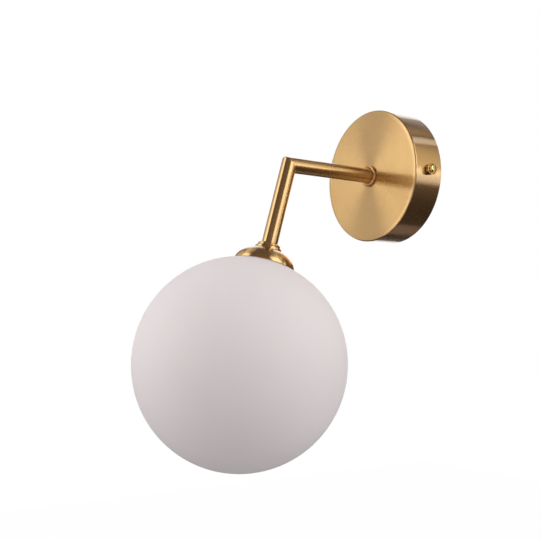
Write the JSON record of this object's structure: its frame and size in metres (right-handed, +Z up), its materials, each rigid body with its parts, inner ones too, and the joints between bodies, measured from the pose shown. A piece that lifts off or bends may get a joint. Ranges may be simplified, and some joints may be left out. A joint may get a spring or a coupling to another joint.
{
  "type": "globe wall sconce",
  "caption": "Wall light with a round satin brass canopy, a straight arm mitred to a leaning drop tube, a small domed cap and an opal glass globe that unscrews.",
  "frame": {"origin": "middle of the wall fixing, in the wall's plane", "axes": "+Y into the wall, +Z up, +X to the right as seen from behind the light's front, towards the side screw that the picture shows"},
  "size_m": [0.15, 0.2223, 0.2715],
  "materials": {
    "satin_brass": "satin, circular and lengthwise brushed, clear lacquered",
    "polished_brass": "polished",
    "opal_glass": "matt acid-etched opal white, opaque",
    "zinc_steel": "bright zinc plated, slightly dull",
    "contact_metal": "plain stamped",
    "holder_ceramic": "unglazed",
    "seal_rubber": "matt translucent silicone",
    "bulb_white": "smooth",
    "bulb_frost": "frosted, lets light through",
    "board_white": "matt printed board",
    "phosphor": "smooth resin over the chip",
    "block_white": "fine moulded",
    "wire_brown": "smooth insulation",
    "wire_blue": "smooth insulation",
    "wire_green_yellow": "smooth insulation, green with a yellow stripe"
  },
  "bodies": {
    "fixture": {"mounting_bracket": "zinc_steel", "canopy": "satin_brass", "arm_tube": "satin_brass", "arm_collar": "satin_brass", "arm_nipple": "zinc_steel", "arm_lock_washer": "zinc_steel", "arm_hex_nut": "zinc_steel", "drop_tube": "satin_brass", "drop_collar": "satin_brass", "shade_cap": "satin_brass", "drop_nipple": "zinc_steel", "cap_lock_washer": "zinc_steel", "globe_holder": "contact_metal", "lampholder_body": "holder_ceramic", "lampholder_contacts": "contact_metal", "lampholder_screws": "zinc_steel", "terminal_block": "block_white", "terminal_clamps": "contact_metal", "terminal_screws": "zinc_steel", "terminal_fixing_screw": "zinc_steel", "earth_ring_terminal": "zinc_steel", "earth_screw": "contact_metal", "live_wire": "wire_brown", "neutral_wire": "wire_blue", "earth_wire": "wire_green_yellow"},
    "globe_seal": {"globe_gasket": "seal_rubber"},
    "globe": {"glass_globe": "opal_glass"},
    "bulb": {"bulb_base": "bulb_white", "bulb_pins": "zinc_steel", "bulb_led_board": "board_white", "bulb_led_chips": "phosphor", "bulb_cover": "bulb_frost"},
    "right_ferrule": {"right_screw_ferrule": "polished_brass"},
    "right_screw": {"right_side_screw": "polished_brass"},
    "left_ferrule": {"left_screw_ferrule": "polished_brass"},
    "left_screw": {"left_side_screw": "polished_brass"}
  },
  "joints": [
    {"name": "globe_lowering", "type": "slide", "parent": "fixture", "child": "globe_seal", "axis": [0, -0.2807, -0.9598], "range_m": [0, 0.00401]},
    {"name": "globe_turn", "type": "hinge", "parent": "globe_seal", "child": "globe", "pos_m": [0, -0.14733, -0.14474], "axis": [0, -0.2807, -0.9598], "range_deg": [0, 480]},
    {"name": "bulb_pull", "type": "slide", "parent": "fixture", "child": "bulb", "axis": [0, -0.2807, -0.9598], "range_m": [0, 0.01]},
    {"name": "right_screw_travel", "type": "slide", "parent": "fixture", "child": "right_ferrule", "axis": [1, 0, 0], "range_m": [-0.00035, 0.0035]},
    {"name": "right_screw_turn", "type": "hinge", "parent": "right_ferrule", "child": "right_screw", "pos_m": [0.0518, -0.0129, -0.0016], "axis": [1, 0, 0], "range_deg": [-180.5, 1800.5]},
    {"name": "left_screw_travel", "type": "slide", "parent": "fixture", "child": "left_ferrule", "axis": [-1, 0, 0], "range_m": [-0.00035, 0.0035]},
    {"name": "left_screw_turn", "type": "hinge", "parent": "left_ferrule", "child": "left_screw", "pos_m": [-0.0518, -0.0129, -0.0016], "axis": [-1, 0, 0], "range_deg": [-180.5, 1800.5]}
  ],
  "couplings": [
    {"joint": "globe_lowering", "follows": "globe_turn", "m_per_rad": 0.00047746},
    {"joint": "right_screw_turn", "follows": "right_screw_travel", "rad_per_m": 8976},
    {"joint": "left_screw_turn", "follows": "left_screw_travel", "rad_per_m": 8976}
  ]
}
